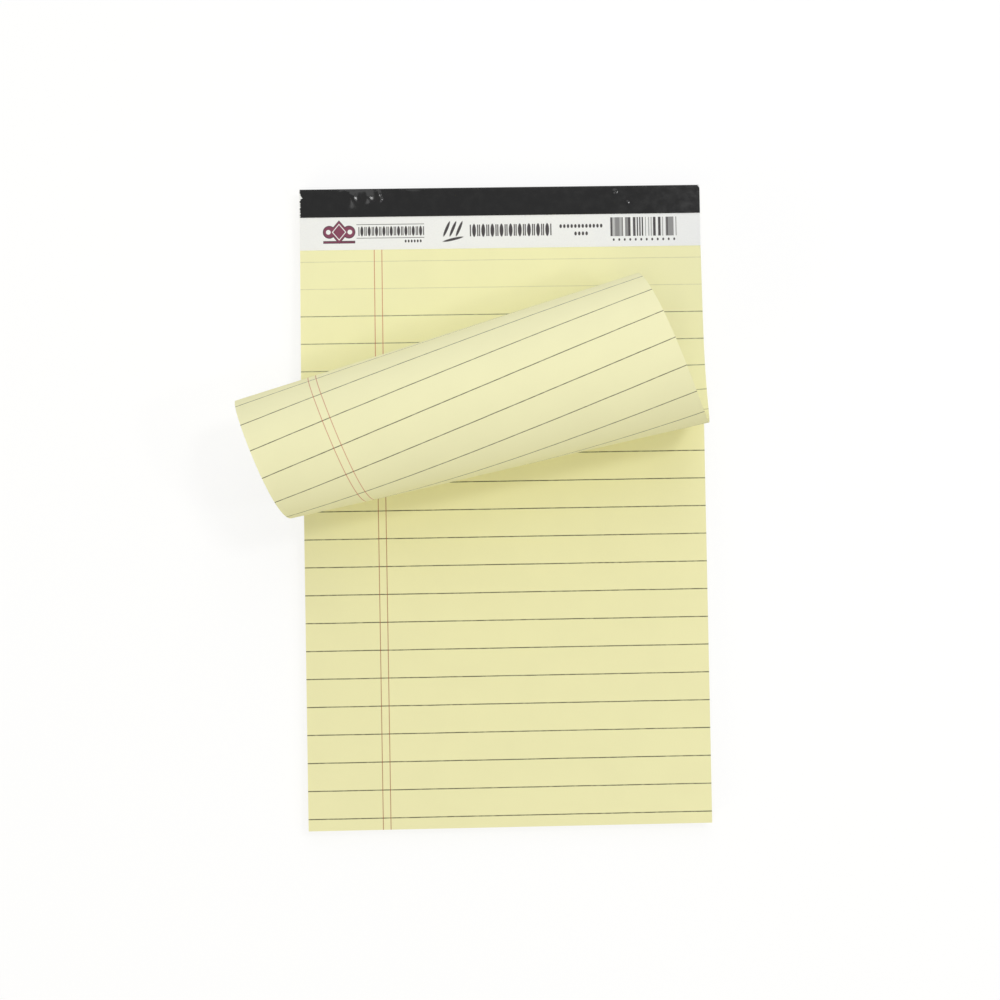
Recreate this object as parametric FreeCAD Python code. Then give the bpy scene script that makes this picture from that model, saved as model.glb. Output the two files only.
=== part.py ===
import FreeCAD, Part
import os
from math import atan, cos, degrees, radians, tan

# A small ruled writing pad, lying on its back with its bound edge towards +Y.
# Its top sheet is still bound but has curled up and over towards the bound edge.
# Millimetres. The origin is the middle of the backing board's back face, and +Z points out of the page.

# The pad
pad_width = 127.0
pad_height = 202.0
sheet_thickness = 0.1
block_sheets = 49
board_thickness = 0.8

# The white heading strip over the bound edge
strip_height = 19.2
strip_thickness = 0.1

# The binding tape, which wraps from the face over the bound edge to the back
tape_thickness = 0.15
tape_front_height = 8.8
tape_back_height = 12.0
tape_bed_depth = 0.05  # how far the tape has pressed into the soft board at the back

# The torn end of the tape at the left: small teeth and one deeper nick on the face
tooth_pitch = 1.1
tooth_depth = 0.35
nick_from_top = 3.0
nick_height = 1.6
nick_depth = 0.9

# The two wire staples under the tape, driven flush with the heading strip
staple_from_side = 26.9
staple_from_top = 3.2
staple_crown = 10.0
staple_leg_turn_in = 3.6
wire_thickness = 0.5
wire_width = 0.6
wire_bend_radius = 0.2

# The curled top sheet: a crease just below the strip, a flat rise, then the curl
crease_below_strip = 0.2
rise_angle = 4.9
curl_start_left = 73.3
curl_start_right = 37.9
curl_turn = 385.0

# How tight the curl is along the sheet's loose length, from where it lifts to its free edge,
# beside how tight it is at its crest: (share of the loose length, tightness)
curl_tightness = ((0.0, 0.0), (0.30, 1.87), (0.49, 1.0), (0.80, 1.63), (1.0, 1.61))
curl_steps = 240
steps_per_point = 5
curl_spans = 24

# Worked out from the sizes above
block_top = board_thickness + block_sheets * sheet_thickness
strip_bottom = block_top + sheet_thickness
stack_top = strip_bottom + strip_thickness
left_side = -pad_width / 2
right_side = pad_width / 2
bound_edge = pad_height / 2
free_edge = -pad_height / 2
crease_y = bound_edge - strip_height - crease_below_strip


def point(x, y, z):
    return FreeCAD.Vector(x, y, z)


def slab(low, high, bottom, thickness):
    """A flat layer of the pad's full width between two heights up the page."""
    return Part.makeBox(pad_width, high - low, thickness, point(left_side, low, bottom))


# The backing board and the block of flat sheets

def make_backing_board():
    board = slab(free_edge, bound_edge, 0, board_thickness)
    return board.cut(slab(bound_edge - tape_back_height, bound_edge, 0, tape_bed_depth))


def make_sheet_block():
    return slab(free_edge, bound_edge, board_thickness, block_top - board_thickness)


def make_header_strip():
    return slab(bound_edge - strip_height, bound_edge, strip_bottom, strip_thickness)


# A staple: a flat wire bent to a closed hoop through the stack, with its ends turned in at the back

def rounded_block(half_width, bottom, top, radius):
    """A block as deep as the wire is wide, with its four corners rounded in side view."""
    block = Part.makeBox(2 * half_width, wire_width, top - bottom,
                         point(-half_width, -wire_width / 2, bottom))
    corners = [e for e in block.Edges if abs(e.tangentAt(e.FirstParameter).y) > 0.5]
    return block.makeFillet(radius, corners)


def make_staple(x):
    back = tape_bed_depth
    outside = rounded_block(staple_crown / 2, back, stack_top, wire_bend_radius + wire_thickness)
    inside = rounded_block(staple_crown / 2 - wire_thickness, back + wire_thickness,
                           stack_top - wire_thickness, wire_bend_radius)
    between_ends = staple_crown - 2 * staple_leg_turn_in
    opening = Part.makeBox(between_ends, wire_width, wire_thickness,
                           point(-between_ends / 2, -wire_width / 2, back))
    staple = outside.cut(inside).cut(opening)
    staple.translate(point(x, bound_edge - staple_from_top, 0))
    return staple


# The binding tape: a thin U over the bound edge, torn at its left end

def tape_section():
    """The tape's outline in side view, rounded where it turns over the two corners."""
    face_end = bound_edge - tape_front_height
    back_end = bound_edge - tape_back_height
    outer = tape_thickness
    half = outer * cos(radians(45))
    bed = tape_bed_depth

    def corner(y, z):
        return point(left_side, y, z)

    front_turn = Part.Arc(corner(bound_edge, stack_top + outer),
                          corner(bound_edge + half, stack_top + half),
                          corner(bound_edge + outer, stack_top))
    back_turn = Part.Arc(corner(bound_edge + outer, bed),
                         corner(bound_edge + half, bed - half),
                         corner(bound_edge, bed - outer))
    front = Part.LineSegment(corner(face_end, stack_top + outer), front_turn.StartPoint)
    over = Part.LineSegment(front_turn.EndPoint, back_turn.StartPoint)
    inner = Part.makePolygon([back_turn.EndPoint, corner(back_end, bed - outer), corner(back_end, bed),
                              corner(bound_edge, bed), corner(bound_edge, stack_top),
                              corner(face_end, stack_top), front.StartPoint])
    outline = [front.toShape(), front_turn.toShape(), over.toShape(), back_turn.toShape()]
    return Part.Face(Part.Wire(outline + inner.Edges))


def teeth(low, high, place):
    """Notches between a row of teeth; place sets each corner, from how far in and how far along."""
    count = max(1, round((high - low) / tooth_pitch))
    pitch = (high - low) / count
    notches = []
    for i in range(count):
        start = low + i * pitch
        corners = [place(0, start), place(tooth_depth, start + pitch / 2), place(0, start + pitch)]
        notches.append(Part.makePolygon(corners + corners[:1]))
    return notches


def make_binding_tape():
    tape = tape_section().extrude(point(pad_width, 0, 0))

    def on_face(depth, along):
        return point(left_side + depth, along, stack_top)

    def on_back(depth, along):
        return point(left_side + depth, along, tape_bed_depth - tape_thickness)

    def on_edge(depth, along):
        return point(left_side + depth, bound_edge, along)

    through = point(0, 0, tape_thickness)
    outward = point(0, tape_thickness, 0)
    cuts = [Part.Face(n).extrude(through)
            for n in teeth(bound_edge - tape_front_height, bound_edge, on_face)]
    cuts += [Part.Face(n).extrude(through)
             for n in teeth(bound_edge - tape_back_height, bound_edge, on_back)]
    cuts += [Part.Face(n).extrude(outward) for n in teeth(tape_bed_depth, stack_top, on_edge)]
    nick_top = bound_edge - nick_from_top
    nick = [on_face(0, nick_top + nick_height), on_face(nick_depth, nick_top), on_face(0, nick_top)]
    cuts.append(Part.Face(Part.makePolygon(nick + nick[:1])).extrude(through))
    return tape.cut(cuts)


# The curled sheet. Paper bends but doesn't stretch, so the curl is part of a cone: straight
# rulings fan out from one far point, level with the sheet's free edge, and each keeps the
# length and the angle to its neighbour that it has in the flat sheet.

curl_slant = atan((curl_start_left - curl_start_right) / pad_width)
apex_x = left_side - (pad_height - curl_start_left) / tan(curl_slant)
apex = point(apex_x, free_edge, 0)


def tightness_at(share):
    """How tight the curl is at a share of its length, between the stations listed above."""
    for (start, before), (end, after) in zip(curl_tightness, curl_tightness[1:]):
        if share <= end:
            return before + (after - before) * (share - start) / (end - start)
    return curl_tightness[-1][1]


def mean_tightness():
    return sum((before + after) / 2 * (end - start)
               for (start, before), (end, after) in zip(curl_tightness, curl_tightness[1:]))


def curl_rulings():
    """Each ruling's flat angle from the free edge, its direction, and the way out of the face.

    The walk goes round the cone from where the sheet lifts to its free edge. Each step turns
    the ruling by the step's flat angle, and rolls it by what the curl bends there.
    """
    step = curl_slant / curl_steps
    bend_per_turn = radians(curl_turn) / (mean_tightness() * curl_slant)
    ruling = point(cos(curl_slant), cos(curl_slant) * tan(curl_slant), 0)
    ahead = point(ruling.y, -ruling.x, 0)
    rulings = []
    for i in range(curl_steps + 1):
        if i % steps_per_point == 0:
            rulings.append((curl_slant - i * step, ruling, ahead.cross(ruling)))
        bend = bend_per_turn * tightness_at((i + 0.5) / curl_steps)
        axis = ruling.cross(ahead) - ruling * bend
        turn = FreeCAD.Rotation(axis, degrees(axis.Length * step))
        ruling = turn.multVec(ruling)
        ahead = turn.multVec(ahead)
    return rulings


def raised(flat):
    """A point of the loose sheet, tilted up with it about the crease below the strip."""
    lift = FreeCAD.Rotation(point(1, 0, 0), -rise_angle)
    hinge = point(0, crease_y, 0)
    return lift.multVec(flat - hinge) + hinge + point(0, 0, block_top)


def smooth_edges(points):
    """One smooth curve through the points, as a chain of equal spans that keeps each face small."""
    shares = [i / (len(points) - 1) for i in range(len(points))]
    curve = Part.BSplineCurve()
    curve.interpolate(Points=points, Parameters=shares)
    return [curve.toShape(i / curl_spans, (i + 1) / curl_spans) for i in range(curl_spans)]


def sheet_edges(side, height):
    """One long edge of the sheet at a height above its underside: flat, rise, then curl."""
    curl = [raised(apex + ruling * ((side - apex_x) / cos(angle)) + out * height)
            for angle, ruling, out in curl_rulings()]
    mitre = point(0, tan(radians(rise_angle / 2)), 1) * height
    crease = point(side, crease_y, block_top) + mitre
    top = point(side, bound_edge, block_top + height)
    return [Part.makeLine(top, crease), Part.makeLine(crease, curl[0])] + smooth_edges(curl)


def make_curled_top_sheet():
    lower_left = sheet_edges(left_side, 0)
    lower_right = sheet_edges(right_side, 0)
    upper_left = sheet_edges(left_side, sheet_thickness)
    upper_right = sheet_edges(right_side, sheet_thickness)
    faces = []
    for one, other in ((lower_left, lower_right), (upper_left, upper_right),
                       (lower_left, upper_left), (lower_right, upper_right)):
        faces += [Part.makeRuledSurface(a, b) for a, b in zip(one, other)]
    for end, corner in ((0, 0), (-1, -1)):
        across = [Part.makeLine(left[end].Vertexes[corner].Point, right[end].Vertexes[corner].Point)
                  for left, right in ((lower_left, lower_right), (upper_left, upper_right))]
        faces.append(Part.makeRuledSurface(*across))
    skin = Part.makeShell(faces)
    skin.sewShape()
    sheet = Part.Solid(skin.Shells[0])
    if sheet.Volume < 0:
        sheet.reverse()
    return sheet


# The pieces, with the staples' path pressed into what they pass through

staples = {"staple_left": make_staple(left_side + staple_from_side),
           "staple_right": make_staple(right_side - staple_from_side)}
stapled = {"backing_board": make_backing_board(), "sheet_block": make_sheet_block(),
           "curled_top_sheet": make_curled_top_sheet(), "header_strip": make_header_strip()}
pieces = {name: shape.cut(list(staples.values())) for name, shape in stapled.items()}
pieces.update(staples)
pieces["binding_tape"] = make_binding_tape()

os.makedirs("parts", exist_ok=True)
for name, shape in pieces.items():
    solid = shape.Solids[0]
    solid.exportStep("parts/" + name + ".step")
    box = solid.BoundBox
    print(name, "solids", len(shape.Solids), "valid", solid.isValid(), "volume %.1f" % solid.Volume,
          "box %.1f %.1f %.1f to %.1f %.1f %.1f" % (box.XMin, box.YMin, box.ZMin,
                                                    box.XMax, box.YMax, box.ZMax))
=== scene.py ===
# %% [markdown]
# # A ruled writing pad with a curled top sheet
# The pad lies on its back on a white table, and the camera looks almost straight down on it.
# Everything is made around a model that is already the right size, so a paper surface, a tape or
# a printed line goes where that model says. This first cell loads the model and measures it.

# %% Load the model
import bpy
from math import atan, cos, exp, pi, radians, sin, tan
from mathutils import Matrix, Vector, noise


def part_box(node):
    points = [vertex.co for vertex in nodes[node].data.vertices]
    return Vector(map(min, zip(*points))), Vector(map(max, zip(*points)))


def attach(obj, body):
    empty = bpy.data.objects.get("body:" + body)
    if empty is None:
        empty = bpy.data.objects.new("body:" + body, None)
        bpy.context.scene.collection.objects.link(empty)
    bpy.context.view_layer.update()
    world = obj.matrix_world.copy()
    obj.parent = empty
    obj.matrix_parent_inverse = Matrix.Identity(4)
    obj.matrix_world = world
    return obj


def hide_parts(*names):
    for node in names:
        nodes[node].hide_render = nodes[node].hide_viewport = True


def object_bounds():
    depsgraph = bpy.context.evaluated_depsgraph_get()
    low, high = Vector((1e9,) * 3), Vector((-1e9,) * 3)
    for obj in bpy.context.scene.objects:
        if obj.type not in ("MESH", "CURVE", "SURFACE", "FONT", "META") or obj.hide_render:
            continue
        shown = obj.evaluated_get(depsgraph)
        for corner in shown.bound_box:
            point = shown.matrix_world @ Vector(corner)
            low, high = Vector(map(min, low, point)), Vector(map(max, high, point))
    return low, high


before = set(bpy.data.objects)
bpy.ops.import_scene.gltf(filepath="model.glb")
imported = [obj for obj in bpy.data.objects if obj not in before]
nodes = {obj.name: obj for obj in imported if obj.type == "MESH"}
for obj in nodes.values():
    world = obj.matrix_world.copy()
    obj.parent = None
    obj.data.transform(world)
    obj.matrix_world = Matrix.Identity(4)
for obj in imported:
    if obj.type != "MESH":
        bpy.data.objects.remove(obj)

cad_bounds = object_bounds()
print("pieces in the model:", ", ".join(sorted(nodes)))

# %% [markdown]
# ## The sizes that everything else follows
# Blender works in metres and paper is thought of in millimetres, so `mm` turns one into the other.
# The pad's width, height and layers are read from the model's own pieces and not typed again.
# The ruling is new here: where the first rule lies and how far apart the rules are. The curl's and
# the tape's own sizes come later, where each is made.

# %% Sizes of the pad
mm = 0.001
block_low, block_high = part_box("sheet_block")
strip_low, strip_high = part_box("header_strip")
tape_low, tape_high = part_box("binding_tape")
pad_width = block_high.x - block_low.x
pad_height = block_high.y - block_low.y
left_side, right_side = block_low.x, block_high.x
free_edge, bound_edge = block_low.y, block_high.y
block_top = block_high.z
strip_bottom = strip_low.z
stack_top = strip_high.z
sheet_thickness = strip_bottom - block_top
strip_height = strip_high.y - strip_low.y
print("page %.1f by %.1f mm, stack %.2f mm thick" % (pad_width / mm, pad_height / mm, stack_top / mm))

rule_count = 21
first_rule = 22.98 * mm
rule_pitch = 8.769 * mm
last_rule = first_rule + (rule_count - 1) * rule_pitch
print("last rule lies %.1f mm above the free edge" % ((pad_height - last_rule) / mm))


# %% [markdown]
# ## Small helpers for building a material
# A procedural material is a sum of small steps: measure where we are on the paper, decide whether
# a printed line passes there, mix two colours. Written as node calls that gets long, so `Recipe`
# wraps one material's node tree and gives each kind of step a short name.
# Colours are written as they look on a screen, 0 to 255, and turned into the linear values that
# light is worked out with.

# %% Material helpers
def screen_colour(red, green, blue):
    """A colour as it looks on a screen, 0 to 255, as the linear values that shaders use."""
    def linear(level):
        level /= 255
        return level / 12.92 if level <= 0.04045 else ((level + 0.055) / 1.055) ** 2.4
    return (linear(red), linear(green), linear(blue), 1.0)


class Recipe:
    """One material and short calls for the steps of its pattern."""

    def __init__(self, name, roughness, specular=0.5):
        self.material = bpy.data.materials.new(name)
        self.material.use_nodes = True
        self.tree = self.material.node_tree
        self.shader = self.tree.nodes["Principled BSDF"]
        self.shader.inputs["Roughness"].default_value = roughness
        self.shader.inputs["Specular IOR Level"].default_value = specular

    def feed(self, socket, value):
        """Sets a node's input to a number or colour, or links another step's result to it."""
        if isinstance(value, bpy.types.NodeSocket):
            self.tree.links.new(value, socket)
        else:
            socket.default_value = value

    def calc(self, operation, *values):
        node = self.tree.nodes.new("ShaderNodeMath")
        node.operation = operation
        for socket, value in zip(node.inputs, values):
            self.feed(socket, value)
        return node.outputs[0]

    def fade(self, value, start, end, low=0.0, high=1.0):
        """Runs smoothly from low to high as value goes from start to end."""
        node = self.tree.nodes.new("ShaderNodeMapRange")
        node.interpolation_type = "SMOOTHSTEP"
        for socket, item in zip(node.inputs, (value, start, end, low, high)):
            self.feed(socket, item)
        return node.outputs["Result"]

    def mix(self, share, first, second):
        node = self.tree.nodes.new("ShaderNodeMix")
        node.data_type = "RGBA"
        self.feed(node.inputs["Factor"], share)
        self.feed(node.inputs["A"], first)
        self.feed(node.inputs["B"], second)
        return node.outputs["Result"]

    def grain(self, where, scale, detail=2.0, roughness=0.5):
        """Cloudy noise from 0 to 1; scale counts its clouds per metre of surface."""
        node = self.tree.nodes.new("ShaderNodeTexNoise")
        self.feed(node.inputs["Vector"], where)
        for name, value in (("Scale", scale), ("Detail", detail), ("Roughness", roughness)):
            node.inputs[name].default_value = value
        return node.outputs["Fac"]

    def place(self):
        """Where we are on the object, in metres, as a vector."""
        return self.tree.nodes.new("ShaderNodeTexCoord").outputs["Object"]

    def split(self, vector):
        node = self.tree.nodes.new("ShaderNodeSeparateXYZ")
        self.feed(node.inputs[0], vector)
        return node.outputs[0], node.outputs[1], node.outputs[2]

    def join(self, x, y, z=0.0):
        node = self.tree.nodes.new("ShaderNodeCombineXYZ")
        for socket, value in zip(node.inputs, (x, y, z)):
            self.feed(socket, value)
        return node.outputs[0]

    def bump(self, height, depth, strength=1.0):
        """Lets a height from 0 to 1 dent the surface by up to depth, in metres."""
        node = self.tree.nodes.new("ShaderNodeBump")
        node.inputs["Strength"].default_value = strength
        node.inputs["Distance"].default_value = depth
        self.feed(node.inputs["Height"], height)
        if self.shader.inputs["Normal"].is_linked:
            self.feed(node.inputs["Normal"], self.shader.inputs["Normal"].links[0].from_socket)
        self.feed(self.shader.inputs["Normal"], node.outputs[0])

    def colour(self, value):
        self.feed(self.shader.inputs["Base Color"], value)


print("helpers ready")

# %% [markdown]
# ## Ruled paper
# The rules are printed, so they belong in the material and not in the mesh. Each sheet carries a
# map named `page` that gives the place on the flat sheet: 0 to 1 from left to right, and 0 to 1
# from the bound edge down. The material turns that into metres and asks how far the nearest rule
# is. Because the map is that of the flat sheet, the rules stay the right distance apart on the
# curled sheet too, whatever way it bends.
#
# Printing presses leave the ink a little uneven, which comes from a slow noise that thins it. The
# first two rules are also faded, on every sheet: a painted glare, standing in for light caught where
# the sheet slopes up from the binding. The paper gets faint clouds and fine fibres.

# %% Ruled paper
paper_yellow = screen_colour(250, 246, 193)
# The top sheet is the same paper as the page. Its front and back are a little paler: painted light,
# which brightens the raised sheet and the crest of the curl.
front_paper_painted_lighter = screen_colour(250, 247, 195)
back_paper_painted_lighter = screen_colour(251, 248, 202)
rule_ink = screen_colour(54, 58, 40)
page_margin_ink = screen_colour(164, 84, 60)
sheet_margin_ink = screen_colour(196, 82, 46)
# the first two rules get a painted glare: their ink is faded down to this line
painted_glare_ends = first_rule + 1.5 * rule_pitch


def page_place(recipe):
    """Metres from the sheet's left side and from its bound edge, at the point being coloured."""
    page = recipe.tree.nodes.new("ShaderNodeUVMap")
    page.uv_map = "page"
    across, down, _ = recipe.split(page.outputs[0])
    return recipe.calc("MULTIPLY", across, pad_width), recipe.calc("MULTIPLY", down, pad_height)


def paper_grain(recipe, where, base):
    """Paper that is a little cloudy in colour, with fine fibres that catch the light."""
    clouds = recipe.grain(where, 60, 3.0)
    fibres = recipe.grain(where, 2500, 3.0, 0.6)
    cloudy = recipe.mix(recipe.fade(clouds, 0.3, 0.7, 0.0, 0.5), base,
                        tuple(c * 0.965 for c in base[:3]) + (1.0,))
    recipe.bump(fibres, 0.03 * mm, 0.25)
    return recipe.mix(recipe.fade(fibres, 0.35, 0.75, 0.0, 0.10), cloudy,
                      tuple(c * 0.9 for c in base[:3]) + (1.0,))


def line_at(recipe, distance, width):
    """1 on a printed line of that width and 0 off it, with a soft edge."""
    return recipe.fade(distance, width * 0.5 + 0.08 * mm, width * 0.5 - 0.08 * mm)


def ruled_paper(name, tone, shift, margins, margin_ink, rule_width, margin_width,
                rule_strength, margin_strength):
    """Yellow paper with the pad's rules; shift moves one face's print against the other's."""
    recipe = Recipe(name, roughness=0.85, specular=0.25)
    x, y = page_place(recipe)
    flat = recipe.join(x, y)
    paper = paper_grain(recipe, flat, tone)
    wobble = recipe.calc("MULTIPLY", recipe.calc("SUBTRACT", recipe.grain(flat, 90), 0.5), 0.14 * mm)
    steps = recipe.calc("DIVIDE", recipe.calc("SUBTRACT", recipe.calc("ADD", y, wobble),
                                              first_rule + shift), rule_pitch)
    nearest = recipe.calc("MINIMUM", recipe.calc("MAXIMUM", recipe.calc("ROUND", steps), 0.0),
                          rule_count - 1.0)
    distance = recipe.calc("MULTIPLY", recipe.calc("ABSOLUTE", recipe.calc("SUBTRACT", steps, nearest)),
                           rule_pitch)
    streaks = recipe.grain(recipe.join(recipe.calc("MULTIPLY", x, 4.0), y), 120, 3.0)
    ink_laid = recipe.fade(streaks, 0.25, 0.6, 0.72, 1.0)
    # painted glare: the first two rules fade, as if light glanced off the sheet there
    painted_glare = recipe.fade(y, painted_glare_ends - 1.0 * mm, painted_glare_ends + 1.0 * mm, 0.26, 1.0)
    rule = recipe.calc("MULTIPLY", line_at(recipe, distance, rule_width),
                       recipe.calc("MULTIPLY", ink_laid, painted_glare))
    ruled = recipe.mix(recipe.calc("MULTIPLY", rule, rule_strength), paper, rule_ink)
    sides = [recipe.calc("ABSOLUTE", recipe.calc("SUBTRACT", x, margin)) for margin in margins]
    margin = line_at(recipe, recipe.calc("MINIMUM", *sides), margin_width)
    recipe.colour(recipe.mix(recipe.calc("MULTIPLY", margin, margin_strength), ruled, margin_ink))
    return recipe.material


front_margins = (23.4 * mm, 25.8 * mm)
back_margins = (22.9 * mm, 25.3 * mm)
page_print = ruled_paper("paper_face_of_block", paper_yellow, 0.0, front_margins, page_margin_ink,
                         0.30 * mm, 0.22 * mm, 0.95, 0.90)
front_print = ruled_paper("paper_front_of_top_sheet", front_paper_painted_lighter, 0.0, front_margins, sheet_margin_ink,
                          0.25 * mm, 0.22 * mm, 0.80, 0.82)
back_print = ruled_paper("paper_back_of_top_sheet", back_paper_painted_lighter, -2.09 * mm, back_margins,
                         sheet_margin_ink, 0.25 * mm, 0.20 * mm, 0.95, 0.75)
print("ruled papers:", page_print.name, front_print.name, back_print.name)


# %% [markdown]
# ## The cut edges of the paper
# A trimmed stack shows the ends of its rules as faint dots along its sides, and each sheet is a
# slightly different tone there, because the knife leaves some edges more open than others.

# %% Cut paper edges
def cut_edges(name):
    recipe = Recipe(name, roughness=0.95, specular=0.1)
    x, y = page_place(recipe)
    place = recipe.place()
    _, _, height = recipe.split(place)
    layers = recipe.grain(recipe.join(0.0, 0.0, height), 9000, 0.0)
    along = recipe.grain(place, 700, 2.0)
    paper = recipe.mix(recipe.fade(layers, 0.35, 0.65, 0.0, 0.55), paper_yellow,
                       screen_colour(205, 196, 128))
    worn = recipe.mix(recipe.fade(along, 0.35, 0.7, 0.0, 0.3), paper, screen_colour(244, 240, 200))
    steps = recipe.calc("DIVIDE", recipe.calc("SUBTRACT", y, first_rule), rule_pitch)
    distance = recipe.calc("MULTIPLY", recipe.calc("ABSOLUTE", recipe.calc(
        "SUBTRACT", steps, recipe.calc("ROUND", steps))), rule_pitch)
    dots = recipe.calc("MULTIPLY", line_at(recipe, distance, 0.3 * mm), 0.05)
    recipe.colour(recipe.mix(dots, worn, rule_ink))
    return recipe.material


paper_edge = cut_edges("paper_cut_edge")
print("edge material:", paper_edge.name)


# %% [markdown]
# ## A thin sheet as a closed mesh
# Paper and tape are both thin sheets: a grid of points on the upper face, a matching grid on the
# lower face, and a narrow rim that joins them all round. One function builds any of them from rows
# of points, so a flat page, the curled sheet and the tape differ only in where their points are.
# Being closed, each has a real thickness, and light treats it as a solid thing. The edges between
# faces and rim are marked sharp, or Blender would shade the rim's slope into the face.

# %% Thin sheet builder
def thin_sheet(name, rows, materials, smooth=True):
    """A closed sheet. Each point of a row is (upper place, lower place, (across, down) on the page).

    materials are those of the upper face, the lower face and the rim.
    """
    height, width = len(rows), len(rows[0])
    count = height * width
    flat = [item for row in rows for item in row]
    points = [item[0] for item in flat] + [item[1] for item in flat]
    faces, kinds = [], []

    def add(corners, kind):
        faces.append(corners)
        kinds.append(kind)

    for i in range(height - 1):
        for j in range(width - 1):
            a, b = i * width + j, i * width + j + 1
            c, d = b + width, a + width
            add((d, c, b, a), 0)
            add((a + count, b + count, c + count, d + count), 1)
    rim = (list(range(width - 1))
           + [i * width + width - 1 for i in range(height - 1)]
           + [(height - 1) * width + j for j in range(width - 1, 0, -1)]
           + [i * width for i in range(height - 1, 0, -1)])
    for a, b in zip(rim, rim[1:] + rim[:1]):
        add((a, b, b + count, a + count), 2)

    mesh = bpy.data.meshes.new(name)
    mesh.from_pydata(points, [], faces)
    for material in materials:
        mesh.materials.append(material)
    mesh.polygons.foreach_set("material_index", kinds)
    mesh.polygons.foreach_set("use_smooth", [smooth and kind < 2 for kind in kinds])
    page = mesh.uv_layers.new(name="page")
    for loop, spot in zip(mesh.loops, page.data):
        spot.uv = flat[loop.vertex_index % count][2]
    edge_kinds = {}
    for face, kind in zip(mesh.polygons, kinds):
        for key in face.edge_keys:
            edge_kinds.setdefault(key, set()).add(kind)
    for edge in mesh.edges:
        edge.use_edge_sharp = len(edge_kinds[edge.key]) > 1
    piece = bpy.data.objects.new(name, mesh)
    bpy.context.scene.collection.objects.link(piece)
    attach(piece, "root")
    print("%s: %d points, %d faces" % (name, len(points), len(faces)))
    return piece


def on_page(x, y):
    """Where a place in the model falls on the flat page's map, 0 to 1 each way."""
    return ((x - left_side) / pad_width, (bound_edge - y) / pad_height)


# %% [markdown]
# ## The block of flat sheets
# From the side a pad is a stack of sheets and not a box. So the block is made of its 49 sheets,
# each a thin slab of its own with a hair of air below it, and each a little out of line, as a
# stack is after trimming. The uppermost one is the page that shows, with a faint wave in it that
# dies out towards the binding. All of them are one object, because the model counts the block's
# pages as one piece.

# %% The block
block_sheets = 49
board_top = block_low.z
layer = (block_top - board_top) / block_sheets
air = 0.18 * layer
out_of_line = 0.05 * mm
page_wave_depth = 0.10 * mm
held_flat = 30 * mm
grows_loose = 60 * mm


def page_wave(x, y):
    """How far the uppermost page dips, as a lift below zero; nothing near the binding."""
    loose = min(1.0, max(0.0, (bound_edge - held_flat - y) / grows_loose))
    wave = noise.noise(Vector((x * 22, y * 14, 3.1)))
    return -page_wave_depth * loose * (0.5 + 0.5 * wave)


def flat_sheet(index):
    """The rows of one flat sheet of the block, counted up from the board."""
    top = board_top + (index + 1) * layer
    bottom = top - layer + air
    shift = [out_of_line * noise.noise(Vector((index * 3.7, side * 11.3, 0.5))) for side in range(3)]
    uppermost = index == block_sheets - 1
    across, down = (64, 96) if uppermost else (2, 2)
    rows = []
    for i in range(down + 1):
        y = bound_edge - pad_height * i / down
        if i == down:
            y += shift[2]
        row = []
        for j in range(across + 1):
            x = left_side + pad_width * j / across + shift[0] * (j == 0) + shift[1] * (j == across)
            lift = page_wave(x, y) if uppermost else 0.0
            row.append((Vector((x, y, top + lift)), Vector((x, y, bottom + lift)), on_page(x, y)))
        rows.append(row)
    return rows


sheets = [thin_sheet("flat_sheet_%02d" % i, flat_sheet(i), (page_print, page_print, paper_edge),
                     smooth=i == block_sheets - 1) for i in range(block_sheets)]
block = sheets[-1]
block.name = "flat_sheets"
with bpy.context.temp_override(active_object=block, object=block, selected_objects=sheets,
                               selected_editable_objects=sheets):
    bpy.ops.object.join()
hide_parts("sheet_block")
print("block: %d sheets, %d faces" % (block_sheets, len(block.data.polygons)))


# %% [markdown]
# ## The curled top sheet
# Paper bends but doesn't stretch. A sheet that curls with a slant, as this one does, is part of a
# cone: straight lines fan out across it from one far point, and the sheet turns from each line to
# the next. Here that point lies well to the left of the pad, level with the sheet's free edge.
#
# The walk below goes from line to line, from where the sheet lifts off to its free edge. A small
# turn at each step rolls the line by what the sheet bends there, and swings it by the angle that
# the two lines make in the flat sheet. So every point keeps its distance along the paper, and the
# rules, which are laid on the flat page, come out bent exactly as on a real sheet.
#
# The sizes are those of the model's own curled sheet, typed again, so this finer one lies in the
# same place, apart from its shallow waves and its tucked-in end.

# %% The curl's sizes
crease_below_strip = 0.2 * mm
crease_y = bound_edge - strip_height - crease_below_strip
rise_angle = radians(4.9)
lift_left = 73.3 * mm
lift_right = 37.9 * mm
curl_turn = radians(385)
curl_tightness = ((0.0, 0.0), (0.30, 1.87), (0.49, 1.0), (0.80, 1.63), (1.0, 1.61))
curl_steps = 240

curl_slant = atan((lift_left - lift_right) / pad_width)
apex = Vector((left_side - (pad_height - lift_left) / tan(curl_slant), free_edge, 0.0))
print("the lines fan out from %.0f mm left of the pad" % ((left_side - apex.x) / mm))


def tightness_at(share):
    """How tight the curl is at a share of its length, beside how tight it is at its crest."""
    for (start, before), (end, after) in zip(curl_tightness, curl_tightness[1:]):
        if share <= end:
            return before + (after - before) * (share - start) / (end - start)
    return curl_tightness[-1][1]


def curl_lines():
    """Each line's angle in the flat sheet, its direction, and the way out of the sheet's front."""
    step = curl_slant / curl_steps
    mean = sum((before + after) / 2 * (end - start)
               for (start, before), (end, after) in zip(curl_tightness, curl_tightness[1:]))
    line = Vector((cos(curl_slant), sin(curl_slant), 0.0))
    ahead = Vector((line.y, -line.x, 0.0))
    lines = []
    for i in range(curl_steps + 1):
        lines.append((curl_slant - i * step, line.copy(), ahead.cross(line)))
        bend = curl_turn / (mean * curl_slant) * tightness_at((i + 0.5) / curl_steps)
        axis = line.cross(ahead) - line * bend
        turn = Matrix.Rotation(axis.length * step, 3, axis.normalized())
        line = turn @ line
        ahead = turn @ ahead
    return lines


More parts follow.
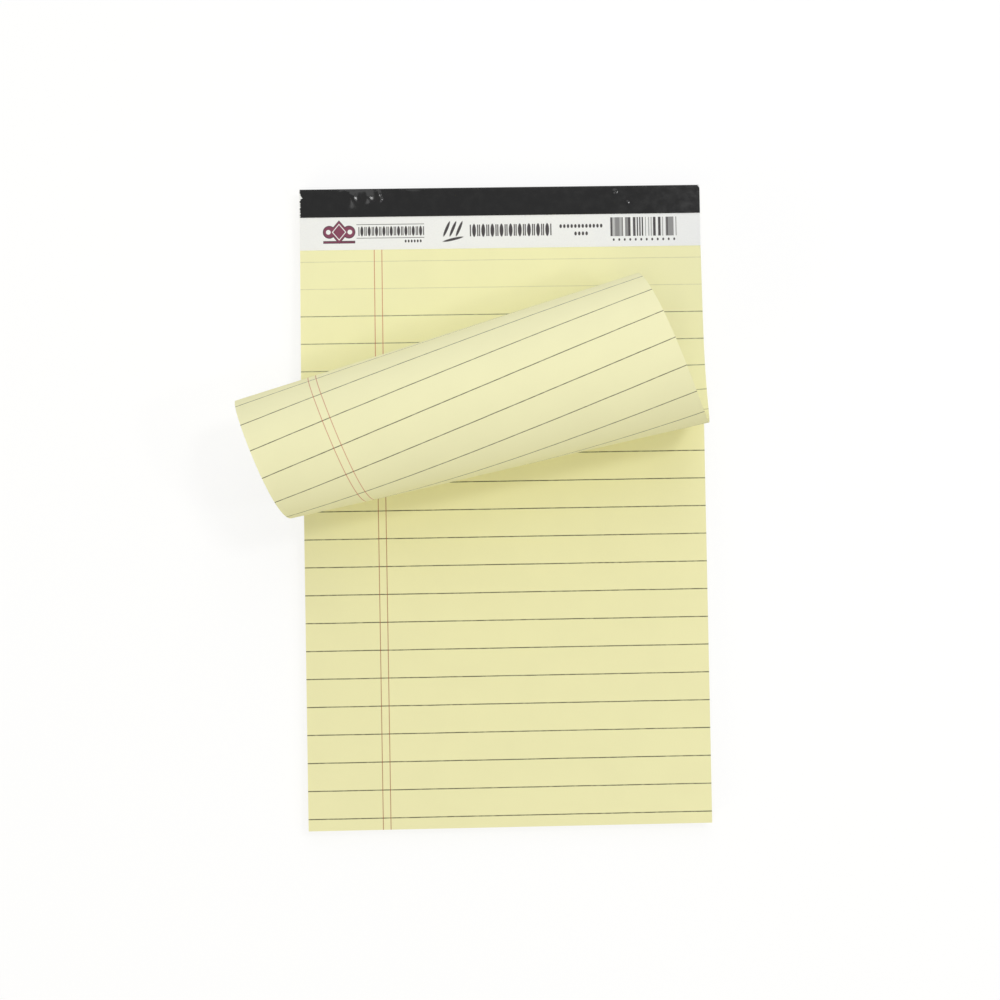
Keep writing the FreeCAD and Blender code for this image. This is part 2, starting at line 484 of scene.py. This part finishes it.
def raised(flat):
    """A point of the loose sheet, tilted up with it about the crease below the strip."""
    hinge = Vector((0.0, crease_y, 0.0))
    tilt = Matrix.Rotation(-rise_angle, 3, "X")
    return tilt @ (flat - hinge) + hinge + Vector((0.0, 0.0, block_top))


# %% [markdown]
# A real sheet is never a perfect cone. It keeps shallow waves from the stack and from handling, so
# each point is moved a little in or out along the sheet's own thickness. The waves are long across
# the curl and short along it, because paper that is already bent one way resists bending the other.
# The last part of the sheet also slips a little to the right inside the curl, so its corner doesn't
# show at the left.

# %% The curled sheet
curl_columns = 72
rise_rows = 14
wave_depth = 0.16 * mm
wave_fades_in = 30 * mm
tail_slip = 1.8 * mm
tail_starts = 0.62


def handling_wave(x, down):
    """How far the loose sheet stands off its cone, in metres."""
    slow = noise.noise(Vector((x * 16, down * 38, 7.7)))
    return wave_depth * slow * min(1.0, max(0.0, (down - strip_height) / wave_fades_in))


def sheet_rows():
    rows = []
    fractions = [j / curl_columns for j in range(curl_columns + 1)]
    lines = curl_lines()

    def row_between(far, share):
        """A row of the flat or rising part, at a share of the way down to the given y values."""
        row = []
        for f, y_end in zip(fractions, far):
            x = left_side + f * pad_width
            y = crease_y + (y_end - crease_y) * share
            low = raised(Vector((x, y, 0.0)))
            high = low + Vector((0.0, sin(rise_angle), cos(rise_angle))) * sheet_thickness
            row.append((high, low, on_page(x, y)))
        return row

    for y in (bound_edge, (bound_edge + crease_y) / 2):
        rows.append([(Vector((left_side + f * pad_width, y, strip_bottom)),
                      Vector((left_side + f * pad_width, y, block_top)),
                      on_page(left_side + f * pad_width, y)) for f in fractions])
    lift_line = [free_edge + (left_side + f * pad_width - apex.x) * tan(curl_slant) for f in fractions]
    for i in range(rise_rows):
        rows.append(row_between(lift_line, i / rise_rows))
    for angle, line, out in lines:
        row = []
        tucked = max(0.0, (1 - angle / curl_slant - tail_starts) / (1 - tail_starts))
        slip = tail_slip * tucked * tucked * (3 - 2 * tucked)
        for f in fractions:
            x = left_side + f * pad_width
            reach = (x - apex.x) / cos(angle)
            down = pad_height - reach * sin(angle)
            stand_off = handling_wave(x, down)
            flat_place = apex + line * (reach + slip)
            low = raised(flat_place + out * stand_off)
            high = raised(flat_place + out * (stand_off + sheet_thickness))
            row.append((high, low, (f, down / pad_height)))
        rows.append(row)
    return rows


curled_sheet = thin_sheet("curled_sheet", sheet_rows(), (front_print, back_print, paper_edge))
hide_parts("curled_top_sheet")
_, curl_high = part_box("curled_top_sheet")
print("the model's curl stands %.1f mm high" % (curl_high.z / mm))

# %% [markdown]
# ## The heading strip's print
# The strip keeps the model's own shape, which is a plain band of white paper. Its print is dark
# shapes on white: an ornament, bands of a bead-and-reel border, small dots and a field of stripes.
# Each shape is a distance worked out from the place on the strip, and where that distance is below
# zero there is ink. A row of equal shapes is one shape whose place is counted from the middle of
# the nearest cell of the row, so a whole border costs no more steps than one bead.

# %% Shapes for print
class Print(Recipe):
    """A recipe with the shapes of a printed border; x and y are metres on the paper."""

    soft = 0.07 * mm

    def ink(self, distance):
        """1 inside a shape and 0 outside it."""
        return self.fade(distance, self.soft, -self.soft)

    def away(self, value, middle):
        return self.calc("ABSOLUTE", self.calc("SUBTRACT", value, middle))

    def bar(self, x, y, half_width, half_height, middle_x=0.0, middle_y=0.0):
        across = self.calc("SUBTRACT", self.away(x, middle_x), half_width)
        up = self.calc("SUBTRACT", self.away(y, middle_y), half_height)
        return self.calc("MAXIMUM", across, up)

    def bead(self, x, y, half_width, half_height, middle_x=0.0, middle_y=0.0):
        across = self.calc("DIVIDE", self.calc("SUBTRACT", x, middle_x), half_width)
        up = self.calc("DIVIDE", self.calc("SUBTRACT", y, middle_y), half_height)
        size = self.calc("SQRT", self.calc("ADD", self.calc("MULTIPLY", across, across),
                                           self.calc("MULTIPLY", up, up)))
        return self.calc("MULTIPLY", self.calc("SUBTRACT", size, 1.0), min(half_width, half_height))

    def lozenge(self, x, y, half_width, half_height, middle_x=0.0, middle_y=0.0):
        size = self.calc("ADD", self.calc("DIVIDE", self.away(x, middle_x), half_width),
                         self.calc("DIVIDE", self.away(y, middle_y), half_height))
        return self.calc("MULTIPLY", self.calc("SUBTRACT", size, 1.0), min(half_width, half_height))

    def row(self, x, first, pitch, count):
        """Where x is, counted from the middle of the nearest of a row of equal cells."""
        cell = self.calc("ROUND", self.calc("DIVIDE", self.calc("SUBTRACT", x, first), pitch))
        cell = self.calc("MINIMUM", self.calc("MAXIMUM", cell, 0.0), count - 1.0)
        return self.calc("SUBTRACT", self.calc("SUBTRACT", x, first),
                         self.calc("MULTIPLY", cell, pitch))

    def both(self, first, *others):
        """The shape that all the given shapes make together."""
        for other in others:
            first = self.calc("MINIMUM", first, other)
        return first

    def border(self, x, y, first, pitch, count, half_height, middle_y):
        """Bead and reel: an upright bead in each cell, and a thin reel on both sides of it."""
        along = self.row(x, first, pitch, count)
        bead = self.bead(along, y, 0.21 * pitch, half_height, 0.0, middle_y)
        reel = self.bar(self.calc("ABSOLUTE", along), y, 0.065 * pitch, 0.9 * half_height,
                        0.40 * pitch, middle_y)
        return self.both(bead, reel)


print("print shapes ready")

# %% [markdown]
# Ink on paper is never pure black: on this strip it is a dark grey, and the ornament is a dark
# wine red with a darker outline. The strip itself is white with a trace of grey and a smoother,
# slightly shinier face than the writing paper below it. Its specks are a fine noise.

# %% The strip's paper and inks
strip_print = Print("printed_heading_strip", roughness=0.55, specular=0.4)
place_x, place_y, _ = strip_print.split(strip_print.place())
x = strip_print.calc("SUBTRACT", place_x, left_side)
y = strip_print.calc("SUBTRACT", bound_edge, place_y)

white_paper = screen_colour(246, 247, 247)
dark_ink = screen_colour(58, 54, 56)
wine_ink = screen_colour(126, 58, 84)
outline_ink = screen_colour(74, 40, 56)
specks = strip_print.grain(strip_print.join(x, y), 1800, 2.0)
paper = strip_print.mix(strip_print.fade(specks, 0.4, 0.8, 0.0, 0.12), white_paper,
                        screen_colour(220, 220, 216))
strip_print.bump(specks, 0.02 * mm, 0.2)
print("strip %.1f mm high" % (strip_height / mm))

# %% [markdown]
# The ornament at the left is a lozenge between two round petals, standing on a bar. A shape's
# outline comes at no cost from its distance: ink where the distance is nearly zero draws a rim
# of even width. The same trick inside the lozenge leaves a white ring.

# %% The ornament
rosette_x, rosette_y = 12.4 * mm, 13.5 * mm
foot_half = 4.9 * mm
petals = strip_print.both(
    strip_print.lozenge(x, y, 3.1 * mm, 3.6 * mm, rosette_x, rosette_y),
    strip_print.bead(strip_print.away(x, rosette_x), y, 1.9 * mm, 1.9 * mm, 3.1 * mm, rosette_y),
    strip_print.bar(x, y, foot_half, 0.28 * mm, rosette_x, rosette_y + 3.2 * mm))
core = strip_print.lozenge(x, y, 2.1 * mm, 2.5 * mm, rosette_x, rosette_y)
ring = strip_print.calc("SUBTRACT", strip_print.calc("ABSOLUTE", core), 0.16 * mm)
eyes = strip_print.bead(strip_print.away(x, rosette_x), y, 0.75 * mm, 0.75 * mm, 3.4 * mm, rosette_y)
gaps = strip_print.both(ring, eyes)
rim = strip_print.calc("SUBTRACT", strip_print.calc("ABSOLUTE", petals), 0.14 * mm)
ornament = strip_print.mix(strip_print.ink(petals), paper, wine_ink)
ornament = strip_print.mix(strip_print.ink(rim), ornament, outline_ink)
ornament = strip_print.mix(strip_print.ink(gaps), ornament, paper)
print("ornament %.1f mm wide" % (2 * foot_half / mm))

# %% [markdown]
# Beside the ornament runs a band of bead and reel between two thin rules, one of the oldest
# borders there is, with a few dots below it. The title is a larger band of the same border, after
# a spray of three leaning leaves over a stroke. The leaves are upright beads in a place that is
# sheared, which is how type is slanted too.

# %% The borders
band = strip_print.both(
    strip_print.border(x, y, 19.6 * mm, 2.32 * mm, 9, 1.55 * mm, 13.35 * mm),
    strip_print.bar(x, y, 10.7 * mm, 0.09 * mm, 28.6 * mm, 11.2 * mm),
    strip_print.bar(x, y, 10.7 * mm, 0.09 * mm, 28.6 * mm, 15.5 * mm),
    strip_print.bead(strip_print.row(x, 33.4 * mm, 0.95 * mm, 6), y, 0.3 * mm, 0.45 * mm,
                     0.0, 16.6 * mm))
spray_x, spray_y = 48.4 * mm, 12.9 * mm
lean, rise = 0.42, 0.22
stroke_half = 3.2 * mm
title_first, title_pitch, title_beads = 55.1 * mm, 2.9 * mm, 9
leaning_x = strip_print.calc("ADD", x, strip_print.calc("MULTIPLY", strip_print.calc(
    "SUBTRACT", y, spray_y), lean))
rising_y = strip_print.calc("ADD", y, strip_print.calc("MULTIPLY", strip_print.calc(
    "SUBTRACT", x, spray_x), rise))
leaves = strip_print.row(leaning_x, spray_x - 2.0 * mm, 2.0 * mm, 3)
title = strip_print.both(
    strip_print.bead(leaves, y, 0.48 * mm, 2.4 * mm, 0.0, spray_y),
    strip_print.bead(x, rising_y, stroke_half, 0.42 * mm, spray_x, spray_y + 3.3 * mm),
    strip_print.border(x, y, title_first, title_pitch, title_beads, 2.05 * mm, 13.5 * mm))
title_end = title_first + (title_beads - 0.5) * title_pitch
print("title spans %.1f mm" % ((title_end - (spray_x - stroke_half)) / mm))

# %% [markdown]
# At the right are two rows of dots and a field of upright stripes of uneven width. The stripes
# are a noise that changes only across the strip: there is ink where it is above a level. A second,
# slower noise thins the ink, so that some stripes are dark and some are grey.

# %% Dots and stripes
def dot_row(first, pitch, count, half_width, half_height, middle_y):
    along = strip_print.row(x, first * mm, pitch * mm, count)
    return strip_print.bead(along, y, half_width * mm, half_height * mm, 0.0, middle_y * mm)


dots = strip_print.both(dot_row(82.6, 1.17, 12, 0.40, 0.62, 12.5),
                        dot_row(87.3, 1.17, 4, 0.40, 0.62, 14.9),
                        dot_row(99.4, 1.75, 12, 0.30, 0.42, 17.0))
field = strip_print.bar(x, y, 10.5 * mm, 3.0 * mm, 108.9 * mm, 12.9 * mm)
waver = strip_print.grain(strip_print.join(x, 0.0), 1250, 0.0)
stripes = strip_print.calc("MAXIMUM", field, strip_print.calc("MULTIPLY", strip_print.calc(
    "SUBTRACT", 0.49, waver), 2.5 * mm))
all_dark = strip_print.both(band, title, dots)
printed = strip_print.mix(strip_print.ink(all_dark), ornament, dark_ink)
thin_ink = strip_print.fade(strip_print.grain(strip_print.join(x, 0.0), 420, 0.0),
                            0.40, 0.52, 0.5, 1.0)
strip_print.colour(strip_print.mix(strip_print.calc("MULTIPLY", strip_print.ink(stripes), thin_ink),
                                   printed, dark_ink))
nodes["header_strip"].material_slots[0].material = strip_print.material
print("heading strip printed with", len(strip_print.tree.nodes), "steps")

# %% [markdown]
# ## The binding tape
# Glossy black tape wraps from the face over the bound edge to the back. It was torn off at the
# left, which leaves fine teeth and one deeper nick, and it was pressed on by hand: there are folds
# and a raised pip where it lies over each staple. What makes gloss readable is not its colour but
# those small slopes that catch a lamp. So the tape is a fine grid, and the folds are real heights
# in it, worked out from where each lies, how long and wide it is, and which way it runs.
#
# The grid needs small squares only near the folds. So its columns lie close together there and
# wide apart elsewhere, and its rows follow the tape's path round the two corners.

# %% The tape's path and folds
tape_thickness = tape_high.z - stack_top
face_reach = 8.8 * mm
back_reach = bound_edge - tape_low.y
bed = tape_low.z + tape_thickness

# Each fold: mm from the left side, mm from the bound edge, long and wide half sizes in mm,
# direction in degrees from across, height in mm
folds = ((16.4, 2.2, 3.2, 2.00, -78, 0.56), (21.6, 2.6, 1.9, 1.60, -84, 0.46),
         (25.1, 1.7, 1.0, 0.60, -84, 0.30), (25.7, 3.2, 0.7, 0.50, -74, 0.24),
         (21.0, 5.6, 3.4, 1.3, -20, 0.06), (38.0, 3.6, 5.0, 2.2, -35, 0.08),
         (100.0, 1.7, 0.55, 0.50, -70, 0.20), (104.0, 5.2, 0.45, 0.35, -60, 0.10),
         (12.0, 5.5, 4.5, 2.0, 30, 0.04), (60.0, 6.4, 8.0, 1.2, 5, 0.03),
         (83.0, 3.0, 9.0, 2.0, -8, 0.03))
ripple_height = 0.012 * mm

# The torn left end, and the small round at the right end's top corner
tooth_pitch = 0.85 * mm
nick_from_end = 2.4 * mm
nick_half = 0.8 * mm
nick_depth = 0.75 * mm
corner_reach = 1.1 * mm
corner_depth = 0.75 * mm


def fold_height(across, down):
    """How far the tape stands off, in metres, at a place given in metres on its face."""
    height = 0.0
    for x, y, long_half, wide_half, direction, rise in folds:
        dx, dy = across / mm - x, down / mm - y
        turn = radians(direction)
        along = (dx * cos(turn) - dy * sin(turn)) / long_half
        beside = (dx * sin(turn) + dy * cos(turn)) / wide_half
        reach = along * along + beside * beside
        if reach < 9:
            height += rise * exp(-reach) * mm
    ripple = noise.noise(Vector((across * 300, down * 420, 2.2)))
    edge = min(1.0, down / (0.8 * mm), (face_reach - down) / (1.0 * mm))
    return max(0.0, height + ripple_height * (ripple + 1)) * max(0.0, edge)


def torn_back(path):
    """How far the torn left end is short of the pad's side, at a length along the tape's path."""
    tooth = path / tooth_pitch + 0.7 * noise.noise(Vector((path * 900, 4.4, 0.0)))
    saw = abs(tooth - round(tooth)) * 2
    depth = (0.05 + 0.62 * saw) * (0.75 + 0.7 * noise.noise(Vector((path * 400, 9.1, 0.0)))) * mm
    nick = max(0.0, 1 - abs(path - (face_reach - nick_from_end)) / nick_half)
    return max(0.0, depth) + nick_depth * nick


def rounded_end(path):
    """How far the cut right end is drawn in: a small round at the top corner of the face."""
    corner = max(0.0, 1 - abs(path - face_reach) / corner_reach)
    return corner_depth * corner * corner


print("%d folds in the tape" % len(folds))

# %% [markdown]
# The tape's length runs down its path: along the face, round the top corner, down the bound edge,
# round the lower corner and along the back. Each place on the path has a way out, square to the
# tape, so its thickness and its folds always stand off in the right direction. A flat sheet bent
# with a modifier could do the same, but here both corners are only as round as the tape is thick,
# and need to lie exactly on the stack's own corners.

# %% Walk the tape's path
fold_zones = ((13.5, 30.0), (98.0, 106.0))
fine_step, wide_step = 0.28 * mm, 1.0 * mm


def tape_path():
    """Places along the tape: (length so far, outer y and z, outward y and z) from face to back."""
    spots = []
    length = 0.0

    def straight(start, end, step, out_y, out_z, skip_last):
        nonlocal length
        run = ((end[0] - start[0]) ** 2 + (end[1] - start[1]) ** 2) ** 0.5
        parts = max(1, round(run / step))
        for i in range(parts + (not skip_last)):
            share = i / parts
            spots.append((length + run * share, start[0] + (end[0] - start[0]) * share,
                          start[1] + (end[1] - start[1]) * share, out_y, out_z))
        length += run

    def round_corner(middle_y, middle_z, start, parts=4):
        """A quarter turn about the stack's corner; start is the outward angle it begins at."""
        nonlocal length
        for i in range(parts):
            turn = radians(start - 90 * i / parts)
            spots.append((length + tape_thickness * pi / 2 * i / parts, middle_y, middle_z,
                          cos(turn), sin(turn)))
        length += tape_thickness * pi / 2

    straight((bound_edge - face_reach, stack_top), (bound_edge, stack_top), 0.2 * mm, 0, 1, True)
    round_corner(bound_edge, stack_top, 90)
    straight((bound_edge, stack_top), (bound_edge, bed), 0.3 * mm, 1, 0, True)
    round_corner(bound_edge, bed, 0)
    straight((bound_edge, bed), (bound_edge - back_reach, bed), 0.4 * mm, 0, -1, False)
    return spots


def tape_columns():
    """Shares of the way across, close together where the folds are."""
    places = [0.0]
    while places[-1] < 1.0:
        across = places[-1] * pad_width / mm
        fine = any(start < across < end for start, end in fold_zones)
        places.append(min(1.0, places[-1] + (fine_step if fine else wide_step) / pad_width))
    return places


print("%d places down the tape, %d across" % (len(tape_path()), len(tape_columns())))

# %% [markdown]
# Now the tape itself. Its black plastic film is almost a mirror, but a dark one: straight on it
# gives back about a fortieth of the light, so on the flat face only a dark grey shows, and in the
# folds only the small, strong lamps do. Handling has left clouds of fine scuffs, which make the film a
# little rougher in some places than in others. That belongs in the material, because the scuffs
# are far too fine for the mesh.

# %% Build the tape
rows = []
for path, y, z, out_y, out_z in tape_path():
    left = left_side + torn_back(path)
    right = right_side - rounded_end(path)
    row = []
    for share in tape_columns():
        x = left + (right - left) * share
        lift = fold_height(x - left_side, face_reach - path) if path < face_reach else 0.0
        outward = Vector((0, out_y, out_z))
        inner = Vector((x, y, z)) + outward * lift
        row.append((inner + outward * tape_thickness, inner, on_page(x, y)))
    rows.append(row)

tape_finish = Recipe("black_binding_tape", roughness=0.14, specular=0.30)
where = tape_finish.place()
scuffs = tape_finish.grain(where, 350, 4.0, 0.6)
fine = tape_finish.grain(where, 5000, 2.0)
cast = tape_finish.mix(tape_finish.fade(scuffs, 0.4, 0.75), screen_colour(11, 11, 12),
                       screen_colour(16, 16, 16))
tape_finish.colour(cast)
tape_finish.feed(tape_finish.shader.inputs["Roughness"], tape_finish.fade(scuffs, 0.3, 0.7, 0.10, 0.18))
tape_finish.bump(fine, 0.01 * mm, 0.12)
tape_finish.bump(scuffs, 0.03 * mm, 0.15)
tape = thin_sheet("tape", rows, (tape_finish.material,) * 3)
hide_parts("binding_tape")
print("tape %.1f mm of face, %.1f mm of back" % (face_reach / mm, back_reach / mm))

# %% [markdown]
# ## The backing board and the staples
# Chipboard is pressed from waste paper: a dull grey-brown with pale and dark fibres and a slightly
# pitted face. Its shape is already right, so it only needs that finish. The staples are bright
# drawn wire, with fine scratches along them, and only their places in the stack matter here,
# because the tape covers their crowns.

# %% Chipboard and wire
chipboard = Recipe("grey_chipboard", roughness=0.92, specular=0.2)
where = chipboard.place()
across, up, out = chipboard.split(where)
fibre_place = chipboard.join(chipboard.calc("MULTIPLY", across, 0.35), up, out)
fibres = chipboard.grain(fibre_place, 3000, 3.0, 0.65)
clouds = chipboard.grain(where, 90, 3.0)
flecks = chipboard.grain(where, 1400, 1.0)
board_colour = chipboard.mix(chipboard.fade(clouds, 0.3, 0.7), screen_colour(163, 152, 134),
                             screen_colour(148, 137, 120))
board_colour = chipboard.mix(chipboard.fade(fibres, 0.5, 0.8, 0.0, 0.5), board_colour,
                             screen_colour(196, 187, 170))
board_colour = chipboard.mix(chipboard.fade(flecks, 0.68, 0.78, 0.0, 0.7), board_colour,
                             screen_colour(98, 86, 72))
chipboard.colour(board_colour)
chipboard.bump(fibres, 0.06 * mm, 0.4)
nodes["backing_board"].material_slots[0].material = chipboard.material

wire = Recipe("staple_wire", roughness=0.32)
wire.shader.inputs["Metallic"].default_value = 1.0
across, up, out = wire.split(wire.place())
scratches = wire.grain(wire.join(wire.calc("MULTIPLY", across, 0.1), up, out), 9000, 2.0)
wire.colour(wire.mix(scratches, screen_colour(190, 190, 188), screen_colour(214, 213, 210)))
wire.feed(wire.shader.inputs["Roughness"], wire.fade(scratches, 0.3, 0.7, 0.25, 0.42))
for name in ("staple_left", "staple_right"):
    nodes[name].material_slots[0].material = wire.material
print("finished:", chipboard.material.name, "and", wire.material.name)

# %% [markdown]
# ## The table
# A white table that stays white all round the pad, and still shows a soft shadow under it. White
# paint under soft light is a little grey, and more light would bleach the paper. So the table is
# plain white paint for the light that bounces off it. To the camera, and in gloss and glass, it
# adds a steady glow, which lifts it to white and leaves a soft part of the shadow.

# %% Table
table_mesh = bpy.data.meshes.new("table")
table_half = 3.0
glow_strength = 1.1
glow_share = 0.72
corners = [(-table_half, -table_half), (table_half, -table_half), (table_half, table_half),
           (-table_half, table_half)]
table_mesh.from_pydata([(x, y, cad_bounds[0].z) for x, y in corners], [], [(0, 1, 2, 3)])
table = bpy.data.objects.new("table", table_mesh)
bpy.context.scene.collection.objects.link(table)

paint = Recipe("white_table", roughness=0.9, specular=0.1)
spots = paint.grain(paint.place(), 8.0, 2.0)
paint.colour(paint.mix(spots, screen_colour(236, 236, 236), screen_colour(240, 240, 239)))
seen = paint.tree.nodes.new("ShaderNodeLightPath")
through = paint.calc("MAXIMUM", seen.outputs["Is Camera Ray"], paint.calc(
    "MAXIMUM", seen.outputs["Is Glossy Ray"], seen.outputs["Is Transmission Ray"]))
glow = paint.tree.nodes.new("ShaderNodeEmission")
glow.inputs["Strength"].default_value = glow_strength
blend = paint.tree.nodes.new("ShaderNodeMixShader")
paint.feed(blend.inputs[0], paint.calc("MULTIPLY", through, glow_share))
paint.tree.links.new(paint.shader.outputs[0], blend.inputs[1])
paint.tree.links.new(glow.outputs[0], blend.inputs[2])
paint.tree.links.new(blend.outputs[0], paint.tree.nodes["Material Output"].inputs["Surface"])
table_mesh.materials.append(paint.material)
print("table top at %.2f mm" % (cad_bounds[0].z / mm))

# %% [markdown]
# ## Light
# A third of the light comes from all round, like a white room, which keeps the shadows open. To
# the camera, and in gloss and glass, the room is plain white at full strength.
#
# The rest comes from softboxes. Two beyond the bound edge, one of them low, make the far side and
# the crest of the curl its brightest parts. Two smaller ones at the right draw the edge of the
# curl's shadow on the raised sheet, and their reflections in the folds show that the tape is
# glossy: the smaller a lamp is for its power, the brighter it looks in gloss. One overhead keeps
# the flat page bright close to the curl. The last, low at the near left, opens the shade under the
# curl. It is a little yellow, as light is that has first fallen on the page.

# %% The room
world = bpy.data.worlds.new("white_room")
bpy.context.scene.world = world
world.use_nodes = True
background = world.node_tree.nodes["Background"]
background.inputs["Color"].default_value = (1.0, 1.0, 1.0, 1.0)
room_light = 0.32
path = world.node_tree.nodes.new("ShaderNodeLightPath")
seen_room = path.outputs["Is Camera Ray"]
for other in ("Is Glossy Ray", "Is Transmission Ray"):
    either = world.node_tree.nodes.new("ShaderNodeMath")
    either.operation = "MAXIMUM"
    world.node_tree.links.new(seen_room, either.inputs[0])
    world.node_tree.links.new(path.outputs[other], either.inputs[1])
    seen_room = either.outputs[0]
strength = world.node_tree.nodes.new("ShaderNodeMapRange")
strength.inputs["To Min"].default_value = room_light
strength.inputs["To Max"].default_value = 1.0
world.node_tree.links.new(seen_room, strength.inputs["Value"])
world.node_tree.links.new(strength.outputs["Result"], background.inputs["Strength"])
print("the room gives %.2f of full light" % room_light)

# %% [markdown]
# Each softbox is a square lamp turned towards the middle of the pad. A small one makes crisp
# shadows and glints, and a large one makes soft ones.

# %% The softboxes
def softbox(name, place, size, energy, colour=(1.0, 1.0, 1.0)):
    """A square lamp that faces the middle of the pad; sizes in metres, energy in watts."""
    light = bpy.data.lights.new(name, "AREA")
    light.color = colour
    light.size = size
    light.energy = energy
    lamp = bpy.data.objects.new(name, light)
    lamp.location = place
    lamp.rotation_euler = (-lamp.location).to_track_quat("-Z", "Y").to_euler()
    bpy.context.scene.collection.objects.link(lamp)
    print("%s stands %.2f m away" % (name, lamp.location.length))


softbox("right_softbox", (0.62, -0.10, 0.84), 0.10, 0.8)
softbox("far_softbox", (0.10, 0.85, 1.10), 0.8, 3.2)
softbox("low_far_softbox", (0.0, 1.25, 0.45), 0.8, 2.2)
softbox("upper_softbox", (0.34, 0.24, 0.85), 0.14, 1.5)
softbox("overhead_softbox", (-0.10, -0.30, 1.50), 0.6, 2.9)
softbox("near_softbox", (-0.85, -0.85, 0.65), 0.7, 3.6, (1.0, 0.93, 0.58))

# %% [markdown]
# ## Camera
# The camera hangs about half a metre over the page, a little below its middle and to the left of
# it, looking almost straight down. Its lens, place and small tilts were worked out from the pad's
# corners, edges and rules.

# %% Camera
camera_data = bpy.data.cameras.new("camera")
camera_data.sensor_width = 36
camera_data.lens = 60.595
camera = bpy.data.objects.new("camera", camera_data)
camera.location = (-14.80 * mm, -10.58 * mm, block_top + 531.49 * mm)
camera.rotation_euler = (0.02394, -0.02426, -0.01761)
bpy.context.scene.collection.objects.link(camera)
bpy.context.scene.camera = camera
bpy.context.scene.view_settings.view_transform = "Standard"
print("camera %.0f mm over the page" % ((camera.location.z - block_top) / mm))
